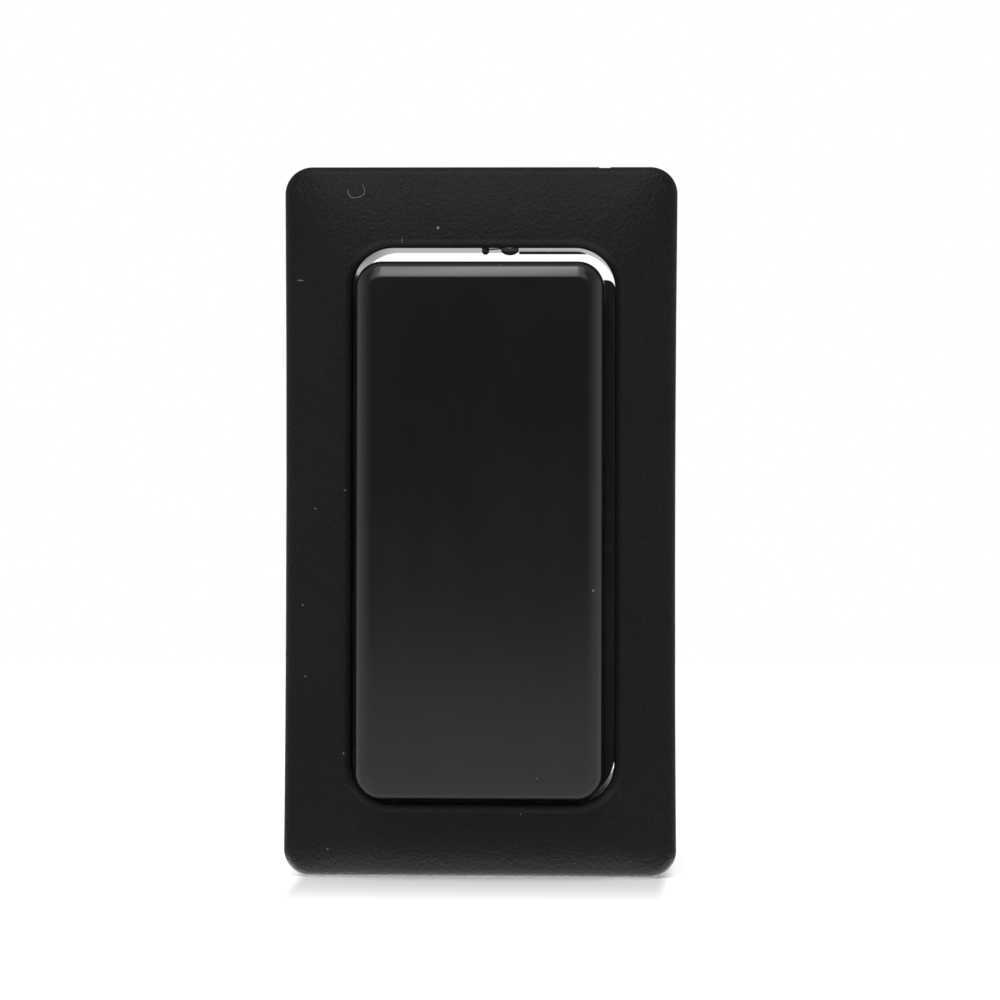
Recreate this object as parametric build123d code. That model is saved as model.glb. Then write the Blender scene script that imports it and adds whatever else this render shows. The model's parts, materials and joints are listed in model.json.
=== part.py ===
from build123d import *
import os

# A rectangular momentary pushbutton switch that snaps into a panel cut-out.
# X is across, Z is up the long side, and the button faces -Y. The panel's front surface is Y = 0,
# and the origin is the middle of the cut-out in that surface. Millimetres.

# bezel: a shallow picture frame in front of the panel, with a small notch in its top edge
BEZEL_WIDTH, BEZEL_HEIGHT = 27.7, 50.0
BEZEL_X, BEZEL_Z = -0.24, 0.28
BEZEL_CORNER = 1.9
BEZEL_EDGE = 1.4
RIM_HEIGHT = 2.4
RIM_ROUND = 0.65
FACET_CROWN = 0.2
EDGE_ROUND = 0.8
SIDE_BOW = 0.13
NOTCH_X, NOTCH_WIDTH, NOTCH_DEPTH = 8.48, 0.8, 0.08

# flash left under the well's top wall: two nubs (x, depth below the rim, radius, stretch along x),
# a thread between them and a fin
FLASH_NUBS = ((1.82, 0.8, 0.4, 1.6), (0.02, 2.9, 0.27, 1.0))
THREAD_X, THREAD_DEPTH, THREAD_LENGTH, THREAD_TURN = 0.88, 1.9, 2.4, -50
FIN_X, FIN_LENGTH, FLASH_THICKNESS = 5.08, 5.6, 0.2

# well: the opening in the bezel and the walls behind it
WELL_WIDTH, WELL_HEIGHT = 18.45, 39.05
WELL_CORNER = 2.85
WELL_TOP = WELL_HEIGHT / 2

# shroud: the part of the bezel moulding that goes through the panel
CUTOUT_WIDTH, CUTOUT_HEIGHT = 24.0, 42.2
CUTOUT_PLAY = 0.15
SHROUD_WALL = 1.7
SHROUD_WIDTH, SHROUD_HEIGHT = WELL_WIDTH + 2 * SHROUD_WALL, WELL_HEIGHT + 2 * SHROUD_WALL
SHROUD_CORNER = WELL_CORNER + SHROUD_WALL
SHROUD_DEPTH = 11.0
TOP_WALL_DEPTH = 4.2
LOCATING_RIB, LOCATING_RIB_Z = 1.2, (-15.6, -6.0, 6.0)
PANEL_THICKNESS = 2.0

# snap arms, two on each long wall, rooted at the back and free at the panel
ARM_Z, ARM_WIDTH, ARM_THICKNESS = 11.5, 5.0, 0.8
ARM_OUTSIDE = CUTOUT_WIDTH / 2 - 0.2
ARM_GAP, ARM_ROOT = 0.45, 1.6
BARB_FRONT, BARB_REACH, BARB_LAND, BARB_LENGTH = PANEL_THICKNESS + 0.1, 0.75, 0.5, 5.4

# catches that hold the housing in the shroud
CATCH_WIDTH, CATCH_FRONT, CATCH_BACK = 8.0, 7.6, 9.6
CATCH_REACH, CATCH_CHAMFER = 0.9, 0.7
CATCH_PLAY = 0.2

# button cap, whose skirt stops just short of the housing at full press
TRAVEL, STOP_GAP = 3.5, 0.1
HOUSING_FRONT = 5.5
CAP_WIDTH, CAP_HEIGHT = 17.3, 37.5
CAP_PROUD = 2.8
CAP_CORNER = 1.8
CAP_FILLET = 1.15
CAP_DRAFT = 0.5
CAP_WALL, CAP_FACE = 1.3, 1.5
CAP_INNER_CORNER = 1.0
CAP_RIB, CAP_RIB_X = 1.0, 2.6
CAP_SAG, CAP_DRIFT = 0.3, 0.18
CAP_FRONT = -(RIM_HEIGHT + CAP_PROUD)
CAP_INSIDE = CAP_FRONT + CAP_FACE
CAP_BACK = HOUSING_FRONT - TRAVEL - STOP_GAP

# plunger: head in the cap's socket, shoulder for the spring, neck in the guide, tenon in the carrier
HEAD_WIDTH, HEAD_HEIGHT, HEAD_DEPTH = 6.0, 14.0, 3.3
HOOK_WIDTH, HOOK_DEPTH, HOOK_REACH, HOOK_INSET, HOOK_PLAY = 2.8, 1.2, 0.9, 1.0, 0.15
SOCKET_WALL, SOCKET_DEPTH = 1.1, 3.0
SHOULDER_RADIUS, SHOULDER_DEPTH = 4.5, 1.0
NECK_RADIUS = 2.9
TENON_RADIUS, TENON_DEPTH = 2.0, 5.0
HEAD_BACK = CAP_INSIDE + HEAD_DEPTH
SHOULDER_BACK = HEAD_BACK + SHOULDER_DEPTH

# housing: the box behind the cap, with a front plate that stands above the rest of it
HOUSING_WIDTH = 18.25
PLATE_TOP, BODY_TOP = 17.65, 16.55
HOUSING_BOTTOM = 0.1 - WELL_HEIGHT / 2
HOUSING_BACK = 25.8
HOUSING_WALL, FRONT_WALL = 1.25, 1.6
HOUSING_TOP_CORNER, HOUSING_BOTTOM_CORNER, HOUSING_INNER_CORNER = 0.6, 2.75, 0.3
SPRING_WELL_RADIUS, SPRING_SEAT = 4.7, 9.0
GUIDE_OUTER_RADIUS, GUIDE_BACK, GUIDE_PLAY = 6.0, 12.0, 0.06
RIB_HEIGHT, RIB_PLAY = 3.0, 0.1
PILLAR_RADIUS, PILLAR_INSET = 2.0, 2.9
PILOT_RADIUS, PILOT_DEPTH = 0.9, 9.0

# contact carrier on the plunger's end
CARRIER_GAP = 0.15
CARRIER_WIDTH, CARRIER_HEIGHT, CARRIER_DEPTH = 6.0, 22.6, 8.0
POLE_OFFSET = 8.0
WINDOW_HEIGHT, WINDOW_WALL = 4.6, 1.2
PEG_RADIUS, PEG_LENGTH = 0.9, 1.2
CARRIER_FRONT = GUIDE_BACK + CARRIER_GAP
CARRIER_BACK = CARRIER_FRONT + CARRIER_DEPTH
WINDOW_FRONT = CARRIER_FRONT + WINDOW_WALL
WINDOW_BACK = CARRIER_BACK - WINDOW_WALL

# bridges and contacts: the contacts close after CONTACT_TRAVEL, and the rest is overtravel
CONTACT_TRAVEL = 2.5
BRIDGE_LENGTH, BRIDGE_HEIGHT, BRIDGE_THICKNESS, BRIDGE_CORNER = 13.8, 4.0, 0.5, 1.2
BRIDGE_PLAY = 0.05
BRIDGE_BACK = WINDOW_BACK - BRIDGE_PLAY
BRIDGE_FRONT = BRIDGE_BACK - BRIDGE_THICKNESS
CONTACT_X = 5.5
CONTACT_RADIUS, CONTACT_HEAD = 1.5, 0.8
CONTACT_ROUND = 0.3
SHANK_RADIUS, RIVETED_RADIUS, RIVETED_HEAD = 0.7, 1.1, 0.35
DIMPLE_RADIUS, DIMPLE_HEIGHT = 0.8, 0.4
FIXED_FACE = BRIDGE_BACK + CONTACT_HEAD + CONTACT_TRAVEL
TAB_FRONT = FIXED_FACE + CONTACT_HEAD

# terminals: 6.3 x 0.8 mm quick-connect blades
BLADE_HEIGHT, BLADE_THICKNESS = 6.3, 0.8
BLADE_OUTSIDE, TAB_INSIDE = 7.6, 3.7
BLADE_TIP = 36.5
BLADE_HOLE_RADIUS, BLADE_HOLE_INSET = 0.85, 4.1
BLADE_CHAMFER, BEND_RADIUS = 0.9, 0.7

# rear cover and its screws
BASE_THICKNESS, SPIGOT_DEPTH, SPIGOT_PLAY = 2.5, 1.0, 0.05
BASE_BACK = HOUSING_BACK + BASE_THICKNESS
BARRIER_WIDTH, BARRIER_HEIGHT, BARRIER_DEPTH = 15.0, 1.2, 4.0
COLLAR_WIDTH, COLLAR_HEIGHT, COLLAR_DEPTH, COLLAR_CORNER = 3.0, 8.6, 0.8, 0.5
SCREW_HOLE_RADIUS, SCREW_HEAD_RADIUS, SCREW_HEAD_HEIGHT = 1.2, 2.0, 1.3
SCREW_LENGTH = 9.5
CROSS_SIZE, CROSS_WIDTH, CROSS_DEPTH = 2.2, 0.5, 0.7
SCREW_HEAD_ROUND = 0.5

# springs
RETURN_WIRE, RETURN_RADIUS, RETURN_TURNS = 0.65, 3.75, 6.0
CONTACT_WIRE, CONTACT_COIL, CONTACT_TURNS = 0.35, 1.5, 5.0
GROUND = 0.4


def near(value, wanted):
    """Whether a measure is the wanted one, within a hundredth of a millimetre."""
    return abs(value - wanted) < 0.01


def from_front(outline, front, back):
    """The solid that has this outline, as seen from the front, between two depths."""
    return Pos(Y=back) * Rot(X=90) * extrude(outline, back - front)


def block(width, height, front, back, x=0.0, z=0.0):
    """A plain rectangular block between two depths."""
    return from_front(Pos(x, z) * Rectangle(width, height), front, back)


def disc(radius, front, back, x=0.0, z=0.0):
    """A round disc or rod along Y between two depths."""
    return from_front(Pos(x, z) * Circle(radius), front, back)


def rounded(width, height, corner, front, back, x=0.0, z=0.0):
    """A block with rounded corners in its outline."""
    return from_front(Pos(x, z) * RectangleRounded(width, height, corner), front, back)


def bowed_outline(width, height, corner, bow):
    """A rounded rectangle whose long sides draw in a little half way up, as mouldings do."""
    half, top = width / 2, height / 2
    right = ThreePointArc((half, -top), (half - bow, 0), (half, top))
    left = ThreePointArc((-half, top), (bow - half, 0), (-half, -top))
    over = Line((half, top), (-half, top))
    under = Line((-half, -top), (half, -top))
    face = make_face(right + over + left + under)
    return fillet(face.vertices(), corner)


def frame_section(share):
    """The bezel's outline on its way from the outer edge (share 0) to the rim of the well (share 1)."""
    width = BEZEL_WIDTH + share * (WELL_WIDTH - BEZEL_WIDTH)
    height = BEZEL_HEIGHT + share * (WELL_HEIGHT - BEZEL_HEIGHT)
    corner = BEZEL_CORNER + share * (WELL_CORNER - BEZEL_CORNER)
    rise = BEZEL_EDGE + share * (RIM_HEIGHT - BEZEL_EDGE)
    rise += 4 * share * (1 - share) * FACET_CROWN
    outline = bowed_outline(width, height, corner, SIDE_BOW)
    return Pos(Y=-rise) * Rot(X=90) * Pos(BEZEL_X * (1 - share), BEZEL_Z * (1 - share)) * outline


def level_edges(body, y):
    """The edges of a body that lie in the plane at this depth."""
    level = [e for e in body.edges() if near(e.bounding_box().size.Y, 0)]
    return [e for e in level if near(e.center().Y, y)]


def sloped_frame():
    """The frame in front of the panel: an upright edge, then four slightly crowned slopes."""
    outline = bowed_outline(BEZEL_WIDTH, BEZEL_HEIGHT, BEZEL_CORNER, SIDE_BOW)
    edge = from_front(Pos(BEZEL_X, BEZEL_Z) * outline, -BEZEL_EDGE, 0)
    slopes = loft([frame_section(0), frame_section(0.5), frame_section(1)])
    body = edge + slopes
    body = fillet(level_edges(body, -BEZEL_EDGE), EDGE_ROUND)
    body -= rounded(WELL_WIDTH, WELL_HEIGHT, WELL_CORNER, -RIM_HEIGHT - 1, 1)
    return fillet(level_edges(body, -RIM_HEIGHT), RIM_ROUND)


def shroud():
    """The tube behind the frame. Its top wall is short, so the slot above the housing is open."""
    body = rounded(SHROUD_WIDTH, SHROUD_HEIGHT, SHROUD_CORNER, -0.5, SHROUD_DEPTH)
    rib_width = CUTOUT_WIDTH - 2 * CUTOUT_PLAY
    for z in LOCATING_RIB_Z:
        body += block(rib_width, LOCATING_RIB, -0.5, SHROUD_DEPTH, z=z)
    above = PLATE_TOP + BEZEL_HEIGHT / 2
    return body - block(BEZEL_WIDTH, BEZEL_HEIGHT, TOP_WALL_DEPTH, SHROUD_DEPTH + 1, z=above)


def snap_arm(z):
    """One snap arm of the right wall with its barb, and the pocket in the wall that lets it flex."""
    inside = ARM_OUTSIDE - ARM_THICKNESS
    root = SHROUD_DEPTH - ARM_ROOT
    profile = Polygon(
        (inside, BARB_FRONT),
        (ARM_OUTSIDE + BARB_REACH, BARB_FRONT),
        (ARM_OUTSIDE + BARB_REACH, BARB_FRONT + BARB_LAND),
        (ARM_OUTSIDE, BARB_FRONT + BARB_LENGTH),
        (ARM_OUTSIDE, SHROUD_DEPTH),
        (inside - ARM_GAP, SHROUD_DEPTH),
        (inside - ARM_GAP, root),
        (inside, root),
        align=None,
    )
    arm = Pos(Z=z - ARM_WIDTH / 2) * extrude(profile, ARM_WIDTH)
    middle = inside - ARM_GAP / 2
    pocket = block(ARM_GAP, ARM_WIDTH + 1, PANEL_THICKNESS, root, middle, z)
    return arm, pocket


def moulding_flash():
    """Scraps of flash left under the top wall: two nubs, the thread between them and a thin fin."""
    flash = Pos(FIN_X, TOP_WALL_DEPTH - FLASH_THICKNESS / 2, WELL_TOP) * Box(
        FIN_LENGTH, FLASH_THICKNESS, FLASH_THICKNESS)
    flash += Pos(THREAD_X, THREAD_DEPTH - RIM_HEIGHT, WELL_TOP) * Rot(Z=THREAD_TURN) * Box(
        THREAD_LENGTH, FLASH_THICKNESS, FLASH_THICKNESS / 2)
    for x, depth, radius, stretch in FLASH_NUBS:
        nub = scale(Sphere(radius), (stretch, 1.0, 1.0))
        flash += Pos(x, depth - RIM_HEIGHT, WELL_TOP - radius / 4) * nub
    return flash


def bezel_frame():
    """The whole front moulding: frame, well, shroud, snap arms and the housing's windows."""
    body = sloped_frame() + shroud()
    body -= rounded(WELL_WIDTH, WELL_HEIGHT, WELL_CORNER, -10, 20)
    for z in (-ARM_Z, ARM_Z):
        arm, pocket = snap_arm(z)
        body = body - pocket - mirror(pocket, Plane.YZ) + arm + mirror(arm, Plane.YZ)
    window_height = CATCH_WIDTH + 2 * CATCH_PLAY
    body -= block(BEZEL_WIDTH, window_height, CATCH_FRONT - CATCH_PLAY, CATCH_BACK + CATCH_PLAY)
    top = BEZEL_Z + BEZEL_HEIGHT / 2
    notch = Pos(NOTCH_X, -BEZEL_EDGE, top) * Box(NOTCH_WIDTH, 4, 2 * NOTCH_DEPTH)
    return body - notch + moulding_flash()


def button_cap():
    """Hollow cap: rounded face, drafted skirt, a socket for the plunger's head, and stiffening ribs."""
    x, z = -CAP_DRIFT, -CAP_SAG
    outline = Pos(x, -z) * RectangleRounded(CAP_WIDTH, CAP_HEIGHT, CAP_CORNER)
    body = Pos(Y=CAP_FRONT) * Rot(X=-90) * extrude(outline, CAP_BACK - CAP_FRONT, taper=-CAP_DRAFT)
    front = body.faces().sort_by(Axis.Y)[0]
    body = fillet(front.edges(), CAP_FILLET)
    inner_width, inner_height = CAP_WIDTH - 2 * CAP_WALL, CAP_HEIGHT - 2 * CAP_WALL
    body -= rounded(inner_width, inner_height, CAP_INNER_CORNER, CAP_INSIDE, CAP_BACK, x, z)
    rib_back = CAP_INSIDE + SOCKET_DEPTH
    body += block(inner_width, CAP_RIB, CAP_INSIDE, rib_back, x, z)
    for side in (-1, 1):
        body += block(CAP_RIB, inner_height, CAP_INSIDE, rib_back, x + side * CAP_RIB_X, z)
        body += block(inner_width, CAP_RIB, CAP_INSIDE, rib_back, x, z + side * CAP_HEIGHT / 3)
    socket_width, socket_height = HEAD_WIDTH + 2 * CAP_DRIFT, HEAD_HEIGHT + 2 * CAP_SAG
    outer_width, outer_height = socket_width + 2 * SOCKET_WALL, socket_height + 2 * SOCKET_WALL
    body += block(outer_width, outer_height, CAP_INSIDE, rib_back, x, z)
    body -= block(socket_width, socket_height, CAP_INSIDE, rib_back, x, z)
    hook_front = CAP_INSIDE + HOOK_INSET
    window_width = HOOK_WIDTH + 2 * (CAP_DRIFT + HOOK_PLAY)
    window_front, window_back = hook_front - HOOK_PLAY, hook_front + HOOK_DEPTH + HOOK_PLAY
    return body - block(window_width, outer_height, window_front, window_back, x, z)


def plunger():
    """The moving stem, from the head with its two hooks to the tenon that the carrier is pressed on."""
    head = block(HEAD_WIDTH, HEAD_HEIGHT, CAP_INSIDE, HEAD_BACK)
    hook_front = CAP_INSIDE + HOOK_INSET
    for side in (-1, 1):
        z = side * (HEAD_HEIGHT + HOOK_REACH) / 2
        head += block(HOOK_WIDTH, HOOK_REACH, hook_front, hook_front + HOOK_DEPTH, 0, z)
    shoulder = disc(SHOULDER_RADIUS, HEAD_BACK, SHOULDER_BACK)
    neck = disc(NECK_RADIUS, SHOULDER_BACK, CARRIER_FRONT)
    tenon = disc(TENON_RADIUS, CARRIER_FRONT, CARRIER_FRONT + TENON_DEPTH)
    return head + shoulder + neck + tenon


def contact_carrier():
    """Insulating bar across the plunger's end, with a window and a spring peg for each bridge."""
    body = rounded(CARRIER_WIDTH, CARRIER_HEIGHT, 0.5, CARRIER_FRONT, CARRIER_BACK)
    body -= disc(TENON_RADIUS, CARRIER_FRONT, CARRIER_FRONT + TENON_DEPTH)
    for side in (-1, 1):
        z = side * POLE_OFFSET
        body -= block(CARRIER_WIDTH + 1, WINDOW_HEIGHT, WINDOW_FRONT, WINDOW_BACK, 0, z)
        body += disc(PEG_RADIUS, WINDOW_FRONT, WINDOW_FRONT + PEG_LENGTH, 0, z)
    return body


def contact_bridge(side):
    """Copper strip with a raised dimple for the spring and a hole for each rivet."""
    z = side * POLE_OFFSET
    strip = rounded(BRIDGE_LENGTH, BRIDGE_HEIGHT, BRIDGE_CORNER, BRIDGE_FRONT, BRIDGE_BACK, 0, z)
    strip += disc(DIMPLE_RADIUS, BRIDGE_FRONT - DIMPLE_HEIGHT, BRIDGE_FRONT, 0, z)
    for x in (-CONTACT_X, CONTACT_X):
        strip -= disc(SHANK_RADIUS, BRIDGE_FRONT, BRIDGE_BACK, x, z)
    return strip


def contact_rivet(x, z, seat, facing, strip):
    """Silver contact: its head lies on a strip's seat face, and its tail is riveted behind the strip."""
    def layer(radius, start, length):
        ends = (seat + facing * start, seat + facing * (start + length))
        return disc(radius, min(ends), max(ends), x, z)

    head = layer(CONTACT_RADIUS, 0, CONTACT_HEAD)
    touching = seat + facing * CONTACT_HEAD
    head = fillet([e for e in head.edges() if near(e.center().Y, touching)], CONTACT_ROUND)
    shank = layer(SHANK_RADIUS, -strip, strip)
    return head + shank + layer(RIVETED_RADIUS, -strip - RIVETED_HEAD, RIVETED_HEAD)


def terminal(across, up):
    """Brass blade with a tab bent inwards at its inner end to carry the fixed contact."""
    z = up * POLE_OFFSET
    tab_back = TAB_FRONT + BLADE_THICKNESS
    blade_inside = BLADE_OUTSIDE - BLADE_THICKNESS
    profile = Polygon(
        (TAB_INSIDE, TAB_FRONT),
        (BLADE_OUTSIDE, TAB_FRONT),
        (BLADE_OUTSIDE, BLADE_TIP),
        (blade_inside, BLADE_TIP),
        (blade_inside, tab_back),
        (TAB_INSIDE, tab_back),
        align=None,
    )
    body = Pos(Z=z - BLADE_HEIGHT / 2) * extrude(profile, BLADE_HEIGHT)
    front = [e for e in body.edges().filter_by(Axis.Z) if near(e.center().Y, TAB_FRONT)]
    body = fillet(front[0] if near(front[0].center().X, BLADE_OUTSIDE) else front[1], BEND_RADIUS)
    tip = [e for e in body.edges().filter_by(Axis.X) if near(e.center().Y, BLADE_TIP)]
    body = chamfer(tip, BLADE_CHAMFER)
    hole = Pos(BLADE_OUTSIDE - BLADE_THICKNESS / 2, BLADE_TIP - BLADE_HOLE_INSET, z)
    body -= hole * Rot(Y=90) * Cylinder(BLADE_HOLE_RADIUS, 3)
    body -= disc(SHANK_RADIUS, TAB_FRONT, tab_back, CONTACT_X, z)
    return body if across > 0 else mirror(body, Plane.YZ)


def housing_outline(top, inset=0.0):
    """The housing's outline: nearly square at the top, rounded at the bottom to follow the well."""
    width, height = HOUSING_WIDTH - 2 * inset, top - HOUSING_BOTTOM - 2 * inset
    face = Pos(0, (top + HOUSING_BOTTOM) / 2) * Rectangle(width, height)
    ordered = face.vertices().sort_by(Axis.Y)
    face = fillet(ordered[:2], HOUSING_BOTTOM_CORNER - inset)
    upper = face.vertices().sort_by(Axis.Y)[-2:]
    return fillet(upper, max(HOUSING_TOP_CORNER - inset, HOUSING_INNER_CORNER))


def screw_places():
    """Heights of the two base screws."""
    return (HOUSING_BOTTOM + PILLAR_INSET, BODY_TOP - PILLAR_INSET)


def switch_housing():
    """Box open at the back, with spring well, guide tube, guide ribs, screw pillars and side catches."""
    pillar_front, pillar_back = HOUSING_FRONT + FRONT_WALL, HOUSING_BACK - SPIGOT_DEPTH
    body = from_front(housing_outline(BODY_TOP), HOUSING_FRONT, HOUSING_BACK)
    body += from_front(housing_outline(PLATE_TOP), HOUSING_FRONT, pillar_front)
    body -= from_front(housing_outline(BODY_TOP, HOUSING_WALL), pillar_front, HOUSING_BACK)
    body += disc(GUIDE_OUTER_RADIUS, HOUSING_FRONT, GUIDE_BACK)
    rib_face = CARRIER_WIDTH / 2 + RIB_PLAY
    rib_reach = (HOUSING_WIDTH - HOUSING_WALL) / 2 - rib_face
    catch_x = (HOUSING_WIDTH + CATCH_REACH) / 2
    for side in (-1, 1):
        rib_x = side * (rib_face + rib_reach / 2)
        body += block(rib_reach, RIB_HEIGHT, GUIDE_BACK, TAB_FRONT, rib_x)
        catch = block(CATCH_REACH, CATCH_WIDTH, CATCH_FRONT, CATCH_BACK, side * catch_x)
        leading = [e for e in catch.edges().filter_by(Axis.Z) if near(e.center().Y, CATCH_FRONT)]
        body += chamfer(max(leading, key=lambda e: abs(e.center().X)), CATCH_CHAMFER)
    for z in screw_places():
        outward = PILLAR_RADIUS if z > 0 else -PILLAR_RADIUS
        body += disc(PILLAR_RADIUS, pillar_front, pillar_back, 0, z)
        body += block(2 * PILLAR_RADIUS, PILLAR_RADIUS, pillar_front, pillar_back, 0, z + outward / 2)
        body -= disc(PILOT_RADIUS, pillar_back - PILOT_DEPTH, HOUSING_BACK, 0, z)
    body -= disc(SPRING_WELL_RADIUS, HOUSING_FRONT, SPRING_SEAT)
    return body - disc(NECK_RADIUS + GUIDE_PLAY, HOUSING_FRONT, GUIDE_BACK)


def terminal_base():
    """Rear cover with a spigot, a collar round each blade, screw holes and a barrier between the poles."""
    front = HOUSING_BACK - SPIGOT_DEPTH
    plate = from_front(housing_outline(BODY_TOP), HOUSING_BACK, BASE_BACK)
    spigot = from_front(housing_outline(BODY_TOP, HOUSING_WALL + SPIGOT_PLAY), front, HOUSING_BACK)
    barrier = block(BARRIER_WIDTH, BARRIER_HEIGHT, BASE_BACK, BASE_BACK + BARRIER_DEPTH)
    body = plate + spigot + barrier
    blade = BLADE_OUTSIDE - BLADE_THICKNESS / 2
    collar_back = BASE_BACK + COLLAR_DEPTH
    for side in (-1, 1):
        for up in (-1, 1):
            x, z = side * blade, up * POLE_OFFSET
            body += rounded(COLLAR_WIDTH, COLLAR_HEIGHT, COLLAR_CORNER, BASE_BACK, collar_back, x, z)
            body -= block(BLADE_THICKNESS, BLADE_HEIGHT, front, collar_back, x, z)
    for z in screw_places():
        body -= disc(SCREW_HOLE_RADIUS, front, BASE_BACK, 0, z)
    return body


def base_screw(z):
    """Pan-head self-tapping screw with a cross recess."""
    head = disc(SCREW_HEAD_RADIUS, BASE_BACK, BASE_BACK + SCREW_HEAD_HEIGHT, 0, z)
    top = BASE_BACK + SCREW_HEAD_HEIGHT
    head = fillet([e for e in head.edges() if near(e.center().Y, top)], SCREW_HEAD_ROUND)
    for turn in (45, 135):
        slot = Rot(Z=turn) * Rectangle(CROSS_SIZE, CROSS_WIDTH)
        head -= from_front(Pos(0, z) * slot, top - CROSS_DEPTH, top)
    shank = disc(PILOT_RADIUS, BASE_BACK - SCREW_LENGTH, BASE_BACK, 0, z)
    return head + shank


def coil_spring(radius, wire, turns, front, back, z):
    """Compression spring along Y with its two ends ground flat."""
    pitch = (back - front - GROUND * wire) / turns
    start = (0, front + GROUND * wire / 2, z)
    path = Helix(pitch=pitch, height=pitch * turns, radius=radius, center=start, direction=(0, 1, 0))
    section = Plane(origin=path @ 0, z_dir=path % 0) * Circle(wire / 2)
    coil = sweep(section, path=path, is_frenet=True)
    return coil & disc(radius + wire, front, back, 0, z)


def save(name, shape):
    export_step(shape, f"parts/{name}.step")


def main():
    os.makedirs("parts", exist_ok=True)
    save("bezel_frame", bezel_frame())
    save("button_cap", button_cap())
    save("plunger", plunger())
    save("contact_carrier", contact_carrier())
    save("switch_housing", switch_housing())
    save("terminal_base", terminal_base())
    save("base_screws", Compound([base_screw(z) for z in screw_places()]))
    back_spring = coil_spring(RETURN_RADIUS, RETURN_WIRE, RETURN_TURNS, SHOULDER_BACK, SPRING_SEAT, 0)
    save("return_spring", back_spring)
    number = 0
    for side, name in ((1, "upper"), (-1, "lower")):
        z = side * POLE_OFFSET
        save(f"{name}_contact_bridge", contact_bridge(side))
        over_spring = coil_spring(CONTACT_COIL, CONTACT_WIRE, CONTACT_TURNS, WINDOW_FRONT, BRIDGE_FRONT, z)
        save(f"{name}_contact_spring", over_spring)
        for across in (-1, 1):
            number += 1
            x = across * CONTACT_X
            save(f"moving_contact_{number}", contact_rivet(x, z, BRIDGE_BACK, 1, BRIDGE_THICKNESS))
            save(f"fixed_contact_{number}", contact_rivet(x, z, TAB_FRONT, -1, BLADE_THICKNESS))
            save(f"terminal_{number}", terminal(across, side))


main()
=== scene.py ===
# %% [markdown]
# # A panel pushbutton, dressed for its portrait
#
# The object is a rectangular pushbutton switch that snaps into a panel. It has a sloped black bezel, a long
# black cap that sinks into a well, and a housing with four brass blades behind the panel. Its construction
# is finished before this lesson starts: every rigid piece arrives as an exact solid, in its real place and
# size, and nothing here moves or reshapes it.
#
# What is left for Blender is what an eye or a fingertip notices. The bezel has a leathery grain and the cap
# hardly any. The well's walls are polished, the springs are round wire, and a little dust has settled.
#
# The first cell loads the solids as a fixed frame. Everything after it is measured from that frame.

# %% Load the frame
import json
from math import cos, pi, radians, sin

import bpy
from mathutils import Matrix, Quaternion, Vector


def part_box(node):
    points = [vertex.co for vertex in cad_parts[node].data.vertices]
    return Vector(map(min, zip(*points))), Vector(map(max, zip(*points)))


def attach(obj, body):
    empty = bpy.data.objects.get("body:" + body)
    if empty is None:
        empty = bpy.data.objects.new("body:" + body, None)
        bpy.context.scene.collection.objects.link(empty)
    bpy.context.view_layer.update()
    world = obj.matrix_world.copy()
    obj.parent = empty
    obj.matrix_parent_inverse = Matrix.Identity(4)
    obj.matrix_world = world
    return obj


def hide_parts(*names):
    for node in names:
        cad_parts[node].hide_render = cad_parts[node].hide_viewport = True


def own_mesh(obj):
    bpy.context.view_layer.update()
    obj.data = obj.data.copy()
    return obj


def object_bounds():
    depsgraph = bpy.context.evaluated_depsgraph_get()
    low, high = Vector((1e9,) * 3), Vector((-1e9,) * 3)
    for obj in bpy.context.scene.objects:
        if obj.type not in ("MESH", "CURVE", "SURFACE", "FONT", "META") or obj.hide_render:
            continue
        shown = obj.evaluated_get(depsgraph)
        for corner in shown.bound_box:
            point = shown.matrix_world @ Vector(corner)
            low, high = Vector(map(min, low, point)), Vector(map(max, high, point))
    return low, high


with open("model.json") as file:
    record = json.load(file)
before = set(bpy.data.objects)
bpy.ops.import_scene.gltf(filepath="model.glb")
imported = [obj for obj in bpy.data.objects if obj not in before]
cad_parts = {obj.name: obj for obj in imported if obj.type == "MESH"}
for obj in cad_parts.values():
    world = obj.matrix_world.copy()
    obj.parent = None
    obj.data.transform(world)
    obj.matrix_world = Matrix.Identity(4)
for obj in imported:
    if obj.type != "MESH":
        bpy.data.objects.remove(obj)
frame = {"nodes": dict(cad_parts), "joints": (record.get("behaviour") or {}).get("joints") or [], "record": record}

cad_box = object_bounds()

# %% [markdown]
# ## Measures
#
# Blender counts in metres, and this object is five centimetres tall, so sizes are easier to read as
# millimetres with the unit written beside them: `0.3 * MM`. The few places that the lesson needs are read
# from the frame's boxes instead of being typed again. That way a longer cap or a deeper well moves
# everything that depends on it.

# %% Measures of the frame
MM = 0.001
bezel_low, bezel_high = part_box("bezel_frame")
cap_low, cap_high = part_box("button_cap")
housing_low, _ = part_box("switch_housing")

FLOOR_Z = cad_box[0].z
RIM_FRONT = bezel_low.y


def well_reaches(direction):
    """How far the well's wall lies from the middle of the well, by a ray sent just inside the rim."""
    start = Vector((0, RIM_FRONT + 1 * MM, 0))
    found, place, _, _ = frame["nodes"]["bezel_frame"].ray_cast(start, Vector(direction))
    if not found:
        raise ValueError("the ray met no wall of the well")
    return (place - start).length


WELL_HALF_WIDTH = well_reaches((1, 0, 0))
WELL_HALF_HEIGHT = well_reaches((0, 0, -1))
WELL_CORNER = 2.85 * MM
print("well", round(2 * WELL_HALF_WIDTH / MM, 2), "by", round(2 * WELL_HALF_HEIGHT / MM, 2), "mm")
print("bezel", [round(side / MM, 2) for side in bezel_high - bezel_low], "mm")
print("cap", [round(side / MM, 2) for side in cap_high - cap_low], "mm")

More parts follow.
